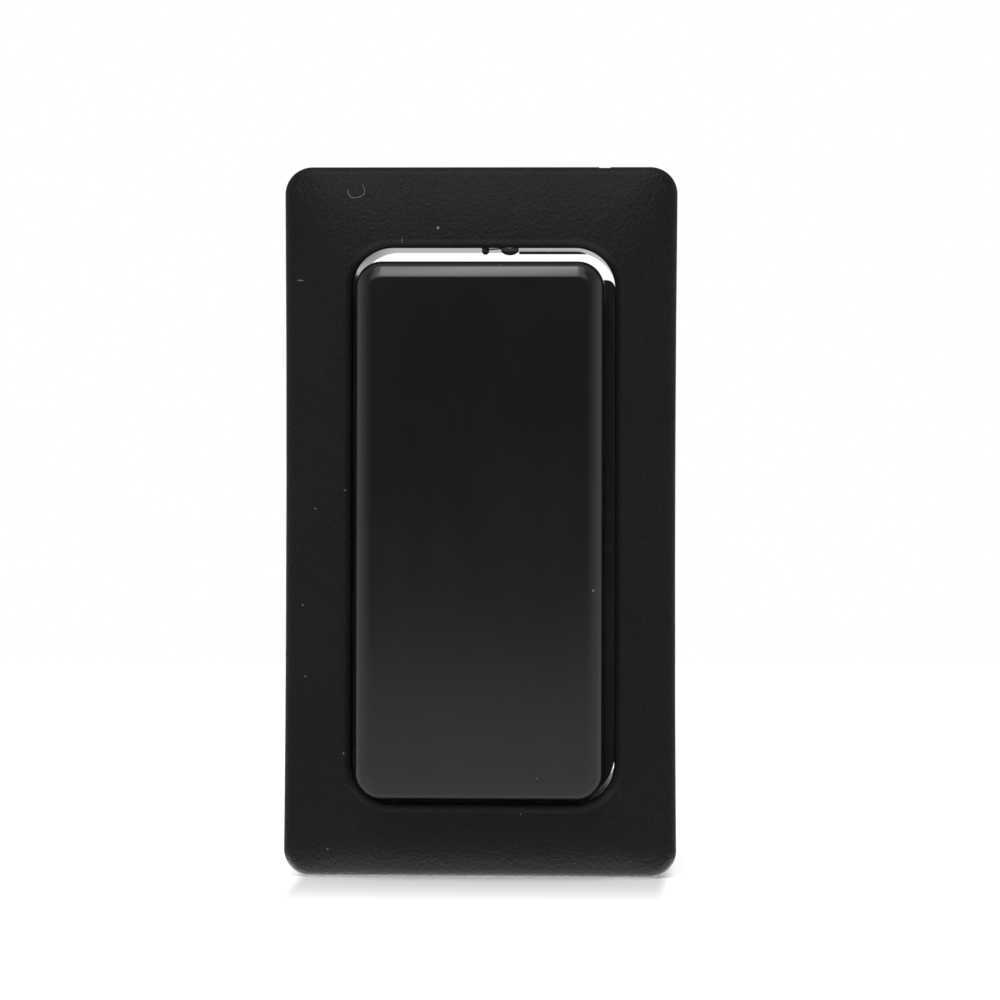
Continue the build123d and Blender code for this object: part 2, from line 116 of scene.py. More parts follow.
# %% [markdown]
# ## The camera
#
# Small products are usually shot from about thirty centimetres with a long lens, so that the front stays a
# true rectangle while the inner walls of the well still show a little. This camera stands slightly to the
# right of the switch, level with its middle, and looks straight at it. It leans by a hair, as a camera on a
# tripod does.
#
# A camera could be aimed with a Track To constraint, but a constraint keeps pulling when someone moves the
# camera later. A rotation worked out once from the direction of view is simpler and stays put.

# %% Camera
CAMERA_DISTANCE = 300 * MM
CAMERA_X = 13.4 * MM
CAMERA_LEAN = radians(0.13)
VIEW_CENTRE = Vector((1.2 * MM, RIM_FRONT, 1.83 * MM))
LENS, SENSOR = 154.2, 36

camera_data = bpy.data.cameras.new("portrait_camera")
camera_data.lens = LENS
camera_data.sensor_width = SENSOR
camera_data.clip_start = 0.01
camera_data.clip_end = 20
camera = bpy.data.objects.new("portrait_camera", camera_data)
bpy.context.scene.collection.objects.link(camera)
camera.location = (CAMERA_X, RIM_FRONT - CAMERA_DISTANCE, VIEW_CENTRE.z)
aim = (VIEW_CENTRE - camera.location).to_track_quat("-Z", "Y")
camera.rotation_euler = (aim @ Quaternion((0, 0, 1), CAMERA_LEAN)).to_euler()
bpy.context.scene.camera = camera
print("camera", [round(place / MM) for place in camera.location], "mm")

# %% [markdown]
# ## Writing shaders as sums
#
# A procedural material is arithmetic on patterns: so much of this noise, less where that mask is, never
# below zero. Built by hand that is a cloud of Math nodes. The small class below wraps a socket and adds
# those nodes whenever two values are added, subtracted or multiplied, so a mask can be read as the sentence
# that it is. `1 - mask` works too, because the reflected forms are there. A value in brackets can also be
# kept from falling below a limit: `(depth - rim).at_least(0)`.

# %% Values that add their own Math nodes
def feed(tree, place, value):
    """Links a value to a node's input, or types a number or colour into it."""
    if isinstance(value, Value):
        tree.links.new(value.socket, place)
    else:
        place.default_value = value


class Value:
    """One output of a node, which can be written in sums."""

    def __init__(self, tree, socket):
        self.tree = tree
        self.socket = socket

    def math(self, operation, *terms):
        made = self.tree.nodes.new("ShaderNodeMath")
        made.operation = operation
        for place, term in zip(made.inputs, terms):
            feed(self.tree, place, term)
        return Value(self.tree, made.outputs[0])

    def __add__(self, other):
        return self.math("ADD", self, other)

    def __radd__(self, other):
        return self.math("ADD", other, self)

    def __sub__(self, other):
        return self.math("SUBTRACT", self, other)

    def __rsub__(self, other):
        return self.math("SUBTRACT", other, self)

    def __mul__(self, other):
        return self.math("MULTIPLY", self, other)

    def __rmul__(self, other):
        return self.math("MULTIPLY", other, self)

    def __abs__(self):
        return self.math("ABSOLUTE", self)

    def __pow__(self, other):
        return self.math("POWER", self, other)

    def at_least(self, other):
        return self.math("MAXIMUM", self, other)


# %% [markdown]
# ## One way to add a node
#
# Everything that isn't arithmetic, such as noise, ramps, mixes and bumps, comes from one method. It takes
# the node's type, the settings that have to be in place before its sockets make sense, and then what goes
# into the sockets. A few tiny methods after it name what the finishes here need again and again: the parts
# of a vector, a soft step between two levels, a mix of two colours, a noise, and a stretched place.

# %% The node maker
class Nodes:
    """A node tree and the one way to add a node to it."""

    def __init__(self, tree):
        self.tree = tree

    def node(self, kind, settings=None, sockets=None, output=0):
        made = self.tree.nodes.new(kind)
        for name, setting in (settings or {}).items():
            setattr(made, name, setting)
        for name, value in (sockets or {}).items():
            feed(self.tree, made.inputs[name], value)
        return Value(self.tree, made.outputs[output])

    def split(self, vector):
        made = self.node("ShaderNodeSeparateXYZ", sockets={"Vector": vector}).socket.node
        return [Value(self.tree, output) for output in made.outputs]

    def step(self, value, low, high):
        return self.node(
            "ShaderNodeMapRange",
            {"interpolation_type": "SMOOTHSTEP"},
            {"Value": value, "From Min": low, "From Max": high},
        )

    def colours(self, amount, first, second):
        return self.node("ShaderNodeMix", {"data_type": "RGBA"}, {0: amount, 6: first, 7: second}, output=2)

    def noise(self, place, size, detail=2.0, roughness=0.5):
        sockets = {"Vector": place, "Scale": 1 / size, "Detail": detail, "Roughness": roughness}
        return self.node("ShaderNodeTexNoise", sockets=sockets)

    def stretched(self, place, stretch):
        return self.node("ShaderNodeVectorMath", {"operation": "MULTIPLY"}, {0: place, 1: stretch})


# %% [markdown]
# ## A finish
#
# A finish is a material with one Principled shader. What is the same all over the surface is typed into the
# shader itself. What varies goes only into its colour, its roughness, its coat and its bump, because those
# are what a game or a viewer can carry over as textures. The paper floor is the one exception: it also
# glows, and it stays in this scene.

# %% The finish class
class Finish(Nodes):
    """A material with one Principled shader."""

    def __init__(self, name, constants):
        self.material = bpy.data.materials.new(name)
        self.material.use_nodes = True
        super().__init__(self.material.node_tree)
        self.shader = next(n for n in self.tree.nodes if n.type == "BSDF_PRINCIPLED")
        for socket, value in constants.items():
            self.shader.inputs[socket].default_value = value
        self.place = self.node("ShaderNodeTexCoord", output="Object")

    def feed(self, socket, value):
        feed(self.tree, self.shader.inputs[socket], value)

    def bump(self, height, depth):
        sockets = {"Height": height, "Distance": depth, "Strength": 1.0}
        self.feed("Normal", self.node("ShaderNodeBump", sockets=sockets))


def grey(level, warmth=0.0):
    """A near-neutral colour. Warmth moves it a little from blue to red."""
    return (level * (1 + warmth), level, level * (1 - warmth), 1.0)


# %% [markdown]
# ## Bezel plastic
#
# The front of the bezel is spark-eroded nylon: the mould was etched with a fine leathery grain, about a
# quarter of a millimetre across, which breaks up reflections and hides scratches. The same moulding is
# polished inside the well, because the core that made it was ground and buffed so that the part could slip
# off. Behind the panel, where nobody looks, the plastic is plain. Bezel and cap share a slightly cool sheen,
# which a specular tint gives them.
#
# Two materials on one mesh would need the faces split by hand. One material with masks on object
# coordinates does it without touching the mesh: inside the well's outline the grain fades and the gloss
# rises. Two more masks paint light on it. The rim is painted a little paler, most at its two ends: a painted
# highlight in place of the light that the rounded rim reflects. Deep in the gap the black is painted grey,
# painted light in place of the light that hardly reaches there.

# %% Inside the well's outline
def distance_past_well(x, z):
    """How far a place lies outside the well's rounded outline, in metres. Inside it is negative."""
    past_x = (abs(x) - (WELL_HALF_WIDTH - WELL_CORNER)).at_least(0.0)
    past_z = (abs(z) - (WELL_HALF_HEIGHT - WELL_CORNER)).at_least(0.0)
    return (past_x * past_x + past_z * past_z) ** 0.5 - WELL_CORNER


# %% Bezel plastic
PEBBLE_SIZE, FINE_SIZE = 0.24 * MM, 0.17 * MM
CLOUD_SIZE, SCUFF_SIZE = 6 * MM, 1.4 * MM
GRAIN_DEPTH = 0.055 * MM
BEZEL_DARK, BEZEL_LIGHT = 0.002, 0.0175
FRONT_ROUGHNESS, WALL_ROUGHNESS, BACK_ROUGHNESS = 0.29, 0.13, 0.4
FRONT_SPECULAR = 0.12
COOL_SHEEN = (0.95, 1.0, 0.98, 1.0)
WALL_COAT, WALL_COAT_ROUGHNESS = 0.4, 0.08
POLISH_FULL, POLISH_GONE = 0.02 * MM, 0.06 * MM
# Painted highlight along the rim of the well, paler at its two ends, in place of the light the rounded rim
# reflects.
RIM_HIGHLIGHT_FULL, RIM_HIGHLIGHT_GONE = 0.3 * MM, 0.75 * MM
RIM_HIGHLIGHT_SIDES, RIM_HIGHLIGHT_ENDS = 0.018, 0.045
RIM_HIGHLIGHT_END_LENGTH = 1.5 * MM
# Painted light deep in the gap: the black there is turned grey, in place of light that hardly reaches it.
PAINTED_GAP_LIGHT, PAINTED_GAP_WARMTH = 0.2, 0.04
PAINTED_GAP_STARTS, PAINTED_GAP_FULL = 0.3 * MM, 3 * MM
BACK_FADE = 0.3 * MM


def bezel_plastic():
    constants = {
        "IOR": 1.5,
        "Specular IOR Level": FRONT_SPECULAR,
        "Specular Tint": COOL_SHEEN,
        "Coat Roughness": WALL_COAT_ROUGHNESS,
    }
    finish = Finish("bezel_plastic", constants)
    x, y, z = finish.split(finish.place)
    edge = distance_past_well(x, z)
    polished = 1 - finish.step(edge, POLISH_FULL, POLISH_GONE)
    behind = finish.step(y, -BACK_FADE, 0.0)
    grained = (1 - polished) * (1 - behind)

    pebble_sockets = {"Vector": finish.place, "Scale": 1 / PEBBLE_SIZE, "Smoothness": 0.6}
    pebbles = finish.node("ShaderNodeTexVoronoi", {"feature": "SMOOTH_F1"}, pebble_sockets)
    fine = finish.noise(finish.place, FINE_SIZE, detail=2)
    grain = 0.55 * pebbles + 0.6 * fine
    clouds = finish.noise(finish.place, CLOUD_SIZE, detail=2)
    scuffs = finish.step(finish.noise(finish.place, SCUFF_SIZE, detail=4, roughness=0.65), 0.56, 0.72)

    tone = 0.3 * clouds + 0.6 * grain * grained + 0.1 * scuffs
    black = finish.colours(tone, grey(BEZEL_DARK), grey(BEZEL_LIGHT, -0.03))
    # Painted highlight: the rim of the well is made paler, most at its two ends.
    at_rim = (1 - finish.step(edge, RIM_HIGHLIGHT_FULL, RIM_HIGHLIGHT_GONE)) * (1 - behind)
    at_ends = finish.step(abs(z), WELL_HALF_HEIGHT - RIM_HIGHLIGHT_END_LENGTH, WELL_HALF_HEIGHT)
    painted_rim_highlight = finish.colours(at_ends, grey(RIM_HIGHLIGHT_SIDES), grey(RIM_HIGHLIGHT_ENDS))
    # Painted light: deep in the gap the black of the wall turns grey.
    deep = finish.step(y, RIM_FRONT + PAINTED_GAP_STARTS, RIM_FRONT + PAINTED_GAP_FULL) * polished
    painted_gap_grey = grey(PAINTED_GAP_LIGHT, PAINTED_GAP_WARMTH)
    finish.feed("Base Color", finish.colours(deep, finish.colours(at_rim, black, painted_rim_highlight), painted_gap_grey))

    front_roughness = FRONT_ROUGHNESS + 0.2 * grain - 0.06 * scuffs
    back_roughness = BACK_ROUGHNESS + 0.08 * clouds
    roughness = grained * front_roughness + (1 - grained) * back_roughness
    finish.feed("Roughness", roughness * (1 - polished) + WALL_ROUGHNESS * polished)
    finish.feed("Coat Weight", WALL_COAT * polished)
    finish.bump(grain * grained, GRAIN_DEPTH)
    return finish.material


# %% [markdown]
# ## Cap plastic
#
# The cap is moulded in a finely polished tool, so it is satin and almost smooth. A flat black face shows
# mostly what it reflects: dark in the middle, lighter towards the bottom, where it sees the pale floor. Its
# roughness decides how sharp that change is, so it is the value to tune first. A ripple of about a
# thousandth of a millimetre keeps the reflection from looking like glass. The cap's skirt, down in the gap,
# is painted grey like the wall beside it: painted light where little light reaches.

# %% Cap plastic
CAP_ROUGHNESS = 0.145
CAP_DARK, CAP_LIGHT = 0.0035, 0.0055
CAP_RIPPLE_DEPTH = 0.0012 * MM
# Painted light: the cap's skirt turns grey from here back into the gap.
SKIRT_PAINTED_GAP_STARTS = 1 * MM
UPRIGHT = (1.0, 1.0, 0.35)


def cap_plastic():
    finish = Finish("cap_plastic", {"IOR": 1.5, "Specular Tint": COOL_SHEEN})
    clouds = finish.noise(finish.place, 9 * MM, detail=2)
    fine = finish.noise(finish.place, 0.11 * MM, detail=2)
    handled = finish.noise(finish.stretched(finish.place, UPRIGHT), 2.2 * MM, detail=4, roughness=0.6)
    _, y, _ = finish.split(finish.place)
    # Painted light: the skirt down in the gap is turned grey.
    deep = finish.step(y, RIM_FRONT + SKIRT_PAINTED_GAP_STARTS, RIM_FRONT + PAINTED_GAP_FULL)
    black = finish.colours(clouds, grey(CAP_DARK), grey(CAP_LIGHT, -0.02))
    finish.feed("Base Color", finish.colours(deep, black, grey(PAINTED_GAP_LIGHT, PAINTED_GAP_WARMTH)))
    finish.feed("Roughness", CAP_ROUGHNESS + 0.03 * clouds + 0.05 * handled)
    finish.bump(0.8 * fine + 0.5 * handled, CAP_RIPPLE_DEPTH)
    return finish.material


# %% [markdown]
# ## Plastics behind the panel
#
# The housing, the base and the moving stem are three different plastics. Glass-filled polyester is a
# slightly brownish black with pale flow marks. The base is a phenolic moulding with a mottled, drier
# surface. The stem and its carrier are natural acetal, an off-white plastic that slides well and lets some
# light in. Only the front of the housing can be reached by dust, through the gap round the cap.

# %% Housing, base and acetal
HOUSING_FLOW, ACETAL_FLOW = (1.0, 0.25, 1.0), (1.0, 0.3, 1.0)
HOUSING_DARK, HOUSING_LIGHT = 0.009, 0.02
HOUSING_DUST = 0.1
HOUSING_DUST_FULL, HOUSING_DUST_GONE = 0.1 * MM, 0.4 * MM


def housing_plastic():
    finish = Finish("housing_plastic", {"IOR": 1.52})
    flow = finish.noise(finish.stretched(finish.place, HOUSING_FLOW), 3.5 * MM, detail=5, roughness=0.6)
    speckle = finish.noise(finish.place, 0.09 * MM, detail=1)
    _, y, _ = finish.split(finish.place)
    front = 1 - finish.step(y, housing_low.y + HOUSING_DUST_FULL, housing_low.y + HOUSING_DUST_GONE)
    black = finish.colours(flow, grey(HOUSING_DARK), grey(HOUSING_LIGHT, 0.05))
    finish.feed("Base Color", finish.colours(front, black, grey(HOUSING_DUST, 0.02)))
    finish.feed("Roughness", 0.3 + 0.18 * flow + 0.06 * speckle)
    finish.bump(0.6 * speckle + 0.4 * flow, 0.006 * MM)
    return finish.material


def base_plastic():
    finish = Finish("base_plastic", {"IOR": 1.58})
    mottle = finish.noise(finish.place, 1.1 * MM, detail=5, roughness=0.7)
    speckle = finish.noise(finish.place, 0.12 * MM, detail=2)
    finish.feed("Base Color", finish.colours(mottle, (0.02, 0.016, 0.013, 1), (0.046, 0.036, 0.029, 1)))
    finish.feed("Roughness", 0.45 + 0.2 * mottle)
    finish.bump(0.7 * speckle + 0.3 * mottle, 0.012 * MM)
    return finish.material


def acetal():
    constants = {
        "IOR": 1.48,
        "Subsurface Weight": 0.25,
        "Subsurface Radius": (1.0, 0.9, 0.7),
        "Subsurface Scale": 0.8 * MM,
    }
    finish = Finish("acetal", constants)
    flow = finish.noise(finish.stretched(finish.place, ACETAL_FLOW), 2.5 * MM, detail=3)
    finish.feed("Base Color", finish.colours(flow, (0.66, 0.64, 0.57, 1), (0.76, 0.75, 0.7, 1)))
    finish.feed("Roughness", 0.33 + 0.12 * flow)
    finish.bump(flow, 0.01 * MM)
    return finish.material


# %% [markdown]
# ## Metals
#
# Stamped brass blades come from rolled strip, so they carry faint lines along the strip and a tarnish that
# gathers in cloudy patches. Copper does the same with a redder tarnish. Spring wire is drawn and shows
# almost no pattern, only a soft change of tone. Zinc on the screws is a fine crystal spangle. All of them
# are metals first: their colour is their reflection, so it goes into Base Color with Metallic at one.
#
# One function with a few arguments makes them all, since they differ in colour, in the direction and size
# of their lines, and in how far the tarnish has gone.

# %% The metals
def metal(name, clean, tarnished, line_stretch, line_size, dullness, roughness):
    finish = Finish(name, {"Metallic": 1.0})
    lines = finish.noise(finish.stretched(finish.place, line_stretch), line_size, detail=3)
    patches = finish.noise(finish.place, 2.6 * MM, detail=5, roughness=0.62)
    tarnish = finish.step(patches, 0.62 - dullness, 0.85 - dullness)
    finish.feed("Base Color", finish.colours(tarnish, clean, tarnished))
    finish.feed("Roughness", roughness + 0.12 * lines + 0.22 * tarnish)
    finish.bump(lines, 0.004 * MM)
    return finish.material


ALONG_Y = (1.0, 0.06, 1.0)
EVEN = (1.0, 1.0, 1.0)


def metals():
    return {
        "brass": metal("brass", (0.83, 0.6, 0.27, 1), (0.5, 0.33, 0.14, 1), ALONG_Y, 0.12 * MM, 0.16, 0.2),
        "copper": metal("copper", (0.86, 0.45, 0.3, 1), (0.5, 0.2, 0.13, 1), EVEN, 0.15 * MM, 0.15, 0.22),
        "silver": metal("silver", (0.88, 0.87, 0.84, 1), (0.6, 0.56, 0.48, 1), EVEN, 0.1 * MM, 0.1, 0.18),
        "spring_steel": metal(
            "spring_steel", (0.62, 0.62, 0.63, 1), (0.42, 0.39, 0.35, 1), EVEN, 0.2 * MM, 0.1, 0.22),
        "screw_steel": metal(
            "screw_steel", (0.72, 0.73, 0.74, 1), (0.5, 0.48, 0.42, 1), EVEN, 0.07 * MM, 0.14, 0.26),
    }


# %% Give each solid its finish
finishes = {
    "bezel_nylon": bezel_plastic(),
    "cap_plastic": cap_plastic(),
    "housing_plastic": housing_plastic(),
    "base_plastic": base_plastic(),
    "acetal": acetal(),
    **metals(),
}


def dress(piece, material):
    """Puts one material on all of a piece."""
    piece.data.materials.clear()
    piece.data.materials.append(material)


for part in frame["record"]["subparts"]:
    dress(frame["nodes"][part["node"]], finishes[part["material_slot"]])

# %% [markdown]
# ## Springs
#
# A compression spring is a wire wound at an even pitch, except for its first and last coil. Those are wound
# tight and ground flat so that the spring stands square. The solids in the frame have the right size, but
# an even pitch all the way.
#
# Blender has several ways to wind a wire. A curve with a bevel needs its points worked out, and the Spin
# tool has no pitch. The Screw modifier is made for this: it turns a small ring about an axis while it
# moves it along. Three lengths are wound, tight, open and tight, each starting where the last one ends.
# Their end rings coincide, so merging by distance joins them into one wire, and a bisect with fill grinds
# each end.

# %% Helpers for modelling
def deselect_all():
    """Later operators act on all that is selected, so nothing is left selected by accident."""
    bpy.ops.object.select_all(action="DESELECT")


def settle(piece):
    """Moves a piece's place, turn and size into its mesh, so that its object sits at the origin."""
    deselect_all()
    piece.select_set(True)
    bpy.context.view_layer.objects.active = piece
    bpy.ops.object.transform_apply(location=True, rotation=True, scale=True)


def edit(piece):
    """Opens a piece in edit mode with everything in it selected."""
    deselect_all()
    bpy.context.view_layer.objects.active = piece
    piece.select_set(True)
    bpy.ops.object.mode_set(mode="EDIT")
    bpy.ops.mesh.select_all(action="SELECT")


def leave_edit():
    bpy.ops.object.mode_set(mode="OBJECT")


# %% Wind a length of wire
WIRE_SIDES = 14
STEPS_IN_A_TURN = 40


def wound_length(radius, wire, start, pitch, turns):
    """A helix of wire round the Y axis, open at both ends."""
    deselect_all()
    bpy.ops.mesh.primitive_circle_add(vertices=WIRE_SIDES, radius=wire / 2, location=(radius, start, 0))
    length = bpy.context.object
    settle(length)
    bpy.ops.object.modifier_add(type="SCREW")
    screw = length.modifiers[-1]
    screw.axis = "Y"
    screw.screw_offset = pitch
    screw.iterations = turns
    screw.steps = STEPS_IN_A_TURN
    screw.render_steps = STEPS_IN_A_TURN
    bpy.ops.object.modifier_apply(modifier=screw.name)
    return length


# %% Join the lengths and grind the ends
GROUND_SHARE = 0.25
TIGHT_PITCH = 1.02


def grind(piece, y, keep):
    """Cuts a spring flat at y and closes the cut. Keep is the side that stays: 1 behind, -1 in front."""
    edit(piece)
    bpy.ops.mesh.bisect(plane_co=(0, y, 0), plane_no=(0, -keep, 0), use_fill=True, clear_outer=True)
    leave_edit()


def coil_spring(name, wire, working_turns):
    """A spring with closed and ground ends, as long and as wide as the solid of the same name."""
    low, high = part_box(name)
    radius = (high.x - low.x - wire) / 2
    ground = GROUND_SHARE * wire
    tight = TIGHT_PITCH * wire
    first = low.y + ground
    last = high.y - ground
    pitch = (last - first - 2 * tight) / working_turns
    lengths = [
        wound_length(radius, wire, first, tight, 1),
        wound_length(radius, wire, first + tight, pitch, working_turns),
        wound_length(radius, wire, last - tight, tight, 1),
    ]
    deselect_all()
    for length in lengths:
        length.select_set(True)
    bpy.context.view_layer.objects.active = lengths[0]
    bpy.ops.object.join()
    spring = bpy.context.object
    spring.name = name + "_wire"
    edit(spring)
    bpy.ops.mesh.remove_doubles(threshold=wire / 50)
    bpy.ops.mesh.select_all(action="DESELECT")
    bpy.ops.mesh.select_non_manifold()
    bpy.ops.mesh.fill_holes(sides=WIRE_SIDES)
    bpy.ops.mesh.select_all(action="SELECT")
    bpy.ops.mesh.normals_make_consistent(inside=False)
    leave_edit()
    grind(spring, low.y, 1)
    grind(spring, high.y, -1)
    spring.location.z = (low.z + high.z) / 2
    settle(spring)
    bpy.ops.object.shade_smooth_by_angle(angle=radians(40))
    dress(spring, finishes["spring_steel"])
    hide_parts(name)
    return spring


# %% [markdown]
# ## How far the springs squash
#
# A spring doesn't ride on one body like a rigid piece: one end stays and the other travels. Squashing it
# along its axis towards the end that stays is exact for the coils and flattens the wire a little, which
# nobody sees inside a housing. The share that is left at full travel is its shortest length divided by its
# length at rest. Here each spring is hung on the body where its end stays, and that share is worked out and
# printed.

# %% The three springs
def travel(joint):
    """The longer limit of a sliding joint."""
    found = next(j for j in frame["joints"] if j["name"] == joint)
    return max(abs(limit) for limit in found["range_m"])


def add_spring(name, wire, working_turns, body, joint):
    """Winds a spring, hangs it on the body where its end stays, and works out the share left at full travel."""
    low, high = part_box(name)
    spring = coil_spring(name, wire, working_turns)
    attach(spring, body)
    keep = 1 - travel(joint) / (high.y - low.y)
    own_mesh(spring)
    print(spring.name, len(spring.data.polygons), "faces, keeps", round(keep, 2))


add_spring("return_spring", 0.65 * MM, 4, "switch_body", "button_press")
for row in ("upper", "lower"):
    add_spring(row + "_contact_spring", 0.35 * MM, 3, "button", row + "_bridge_lag")

# %% [markdown]
# ## Dust and lint
#
# Black plastic collects dust, and a few pale specks tell the eye how small the object is. They are real
# pieces, not paint: a flake is an icosphere pushed out of shape and pressed flat, and a fibre is a tiny
# disc spun along one arc or several.
#
# Each one has to lie on the surface under it. A ray cast from the front finds that surface and its slope,
# and the piece is turned to match before its place goes into the mesh.

# %% Lay a small piece on the surface under it
FROM_FRONT = Vector((0, 1, 0))


def surface_under(node, x, z):
    """Where a ray from the front meets a solid at this x and z, and the direction that the surface faces."""
    found, place, facing, _ = frame["nodes"][node].ray_cast(Vector((x, -1, z)), FROM_FRONT)
    if not found:
        raise ValueError(f"nothing of {node} lies behind x {x / MM} z {z / MM}")
    return place, facing


def lay(piece, node, x, z, turn, lift):
    """Turns a piece that was made flat, facing -Y, to the surface and lets it lie there."""
    place, facing = surface_under(node, x * MM, z * MM)
    piece.rotation_mode = "QUATERNION"
    tilt = (-FROM_FRONT).rotation_difference(facing)
    piece.rotation_quaternion = tilt @ Quaternion(FROM_FRONT, turn)
    piece.location = place + facing * lift
    settle(piece)


# %% Lint finish
def lint():
    finish = Finish("lint", {"Sheen Weight": 0.3})
    tone = finish.noise(finish.place, 0.2 * MM, detail=3)
    finish.feed("Base Color", finish.colours(tone, (0.1, 0.105, 0.105, 1), (0.25, 0.25, 0.24, 1)))
    finish.feed("Roughness", 0.75 + 0.2 * tone)
    return finish.material


lint_finish = lint()

# %% Flakes of dust
FLAKE_THICKNESS = 0.2
FLAKE_LIFT = 0.2
FLAKE_UNEVENNESS = 0.12
FLAKE_TURN = 0.4


def flake(name, node, body, x, z, width, length, turn, seed):
    """An uneven flake, pressed flat. Its place and its size are in millimetres."""
    thickness = FLAKE_THICKNESS * min(width, length)
    deselect_all()
    bpy.ops.mesh.primitive_ico_sphere_add(subdivisions=2, radius=0.5 * MM)
    piece = bpy.context.object
    piece.name = name
    piece.scale = (width, thickness, length)
    settle(piece)
    edit(piece)
    bpy.ops.transform.vertex_random(offset=FLAKE_UNEVENNESS * width * MM, seed=seed)
    leave_edit()
    lay(piece, node, x, z, turn, FLAKE_LIFT * thickness * MM)
    bpy.ops.object.shade_smooth_by_angle(angle=radians(60))
    dress(piece, lint_finish)
    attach(piece, body)


# Each flake has the x and z of its middle, then its width and its length, all in millimetres.
flakes = {
    "bezel_frame": (
        (-3.2, 20.9, 0.19, 0.24), (2.7, -20.2, 0.1, 0.1), (-11.8, 1.2, 0.1, 0.16), (-9.7, 2.5, 0.09, 0.2),
        (-12.7, -5.6, 0.12, 0.11), (-12.5, -10.6, 0.13, 0.1), (-9.75, -16.0, 0.09, 0.18),
        (-12.9, 17.25, 0.5, 0.08), (-10.9, -22.75, 0.12, 0.12),
    ),
    "button_cap": ((3.9, -17.5, 0.09, 0.09), (7.8, -4.45, 0.14, 0.2), (1.3, 18.1, 0.16, 0.08)),
    "switch_housing": (
        (8.74, 0.8, 0.12, 0.4), (8.74, -1.7, 0.12, 0.5), (8.74, -7.1, 0.1, 0.3), (8.82, -8.4, 0.2, 0.2),
    ),
}
bodies_of_flakes = {"bezel_frame": "switch_body", "button_cap": "button", "switch_housing": "switch_body"}
for node, places in flakes.items():
    for number, (x, z, width, length) in enumerate(places, 1):
        name = f"dust_on_{node}_{number}"
        flake(name, node, bodies_of_flakes[node], x, z, width, length, FLAKE_TURN * number, number)
    print(len(places), "flakes on", node)

# %% Fibres of lint
FIBRE_SIDES = 6
FIBRE_THICKNESS = 0.06 * MM
DEGREES_A_STEP = 12
FEWEST_STEPS = 4


def fibre(name, node, body, x, z, turn, arcs):
    """A fibre spun along arcs of (radius in mm, degrees), each turning the same way and meeting the last."""
    deselect_all()
    bpy.ops.mesh.primitive_circle_add(vertices=FIBRE_SIDES, radius=FIBRE_THICKNESS / 2, fill_type="NGON")
    piece = bpy.context.object
    piece.name = name
    end, heading = Vector((0, 0, 0)), 0.0
    edit(piece)
    for radius, degrees in arcs:
        centre = end + Vector((cos(heading), 0, -sin(heading))) * radius * MM
        angle = radians(degrees)
        steps = max(FEWEST_STEPS, round(degrees / DEGREES_A_STEP))
        bpy.ops.mesh.spin(steps=steps, angle=angle, center=centre, axis=(0, 1, 0))
        heading += angle
        end = centre - Vector((cos(heading), 0, -sin(heading))) * radius * MM
    bpy.ops.mesh.select_all(action="SELECT")
    bpy.ops.mesh.normals_make_consistent(inside=False)
    leave_edit()
    lay(piece, node, x, z, turn, FIBRE_THICKNESS / 2)
    bpy.ops.object.shade_smooth_by_angle(angle=radians(60))
    dress(piece, lint_finish)
    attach(piece, body)


fibre("curled_fibre", "bezel_frame", "switch_body", -9.57, 23.6, 0.0, ((0.8, 40), (0.42, 75), (0.8, 50)))
fibre("short_fibre", "bezel_frame", "switch_body", -5.7, 20.2, 0.1, ((2.5, 8),))

# %% [markdown]
# ## Floor
#
# The switch stands on white paper that ends thirty centimetres in front of it. Where it ends matters:
# the lower part of the cap mirrors the paper, and above that the cap mirrors the dark room, which is what
# gives the flat face its gradient.
#
# In a studio the paper is lit until it burns out to pure white. Raising the lamps would do that and would
# wash out the switch as well, so the paper gets a little light of its own instead. The camera sees one
# amount, which is low near the switch and grows away from it, so that it paints part of the soft shadow.
# Mirror reflections see another, strong only right under the bezel, where paper and plastic almost touch:
# it is a painted reflection that draws the pale line along the lower edge. Neither amount adds diffuse light
# to the switch.

# %% Floor
FLOOR_FRONT, FLOOR_BACK, FLOOR_HALF_WIDTH = -300 * MM, 400 * MM, 1500 * MM
PAPER_DARK, PAPER_LIGHT = 0.84, 0.86
# Glow seen by the camera: low near the switch, which paints part of its shadow on the paper.
PAINTED_SHADOW_GLOW, GLOW_FAR = 0.12, 0.66
GLOW_STARTS, GLOW_FULL = 3 * MM, 30 * MM
PAINTED_SHADOW_INSET = 1.5 * MM
SIDEWAYS_HASTE = 20
# Glow seen only in reflections: strong right under the bezel, a painted reflection along its lower edge.
PAINTED_REFLECTION_GLOW, GLOSS_FAR = 5.0, 0.3
GLOSS_STARTS, GLOSS_FULL = RIM_FRONT - 3 * MM, RIM_FRONT + 1.6 * MM
CLOSE, NO_LONGER_CLOSE = 2 * MM, 5 * MM


